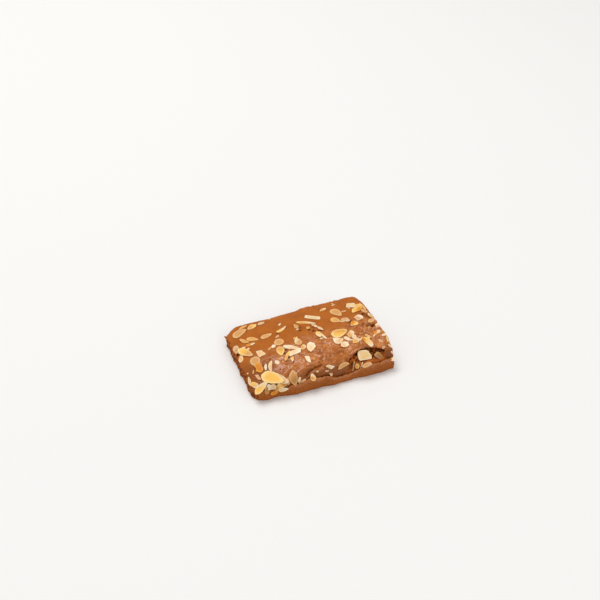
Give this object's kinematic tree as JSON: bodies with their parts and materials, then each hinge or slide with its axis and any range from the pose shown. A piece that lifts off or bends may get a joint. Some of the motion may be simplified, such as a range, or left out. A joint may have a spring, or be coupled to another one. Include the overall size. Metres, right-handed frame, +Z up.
{
  "type": "speculoos cake",
  "caption": "Low rectangular slab of spiced cake with a glossy brown crust that folds and tears along one long edge, and flaked almonds baked into the top.",
  "frame": {"origin": "middle of the flat underside", "axes": "+X along the long side towards the taller cut end, +Y towards the plain back edge, +Z up out of the crust"},
  "size_m": [0.1449, 0.0994, 0.0282],
  "materials": {
    "crust": "satin brown crust, slightly wrinkled, with a soft shine on the front half",
    "crumb": "matte, dark and porous where the crust is torn and along the cut ends",
    "almond": "satin almond flakes, from cream to toasted yellow"
  },
  "bodies": {
    "root": {"speculoos_cake": "crust"}
  },
  "joints": []
}
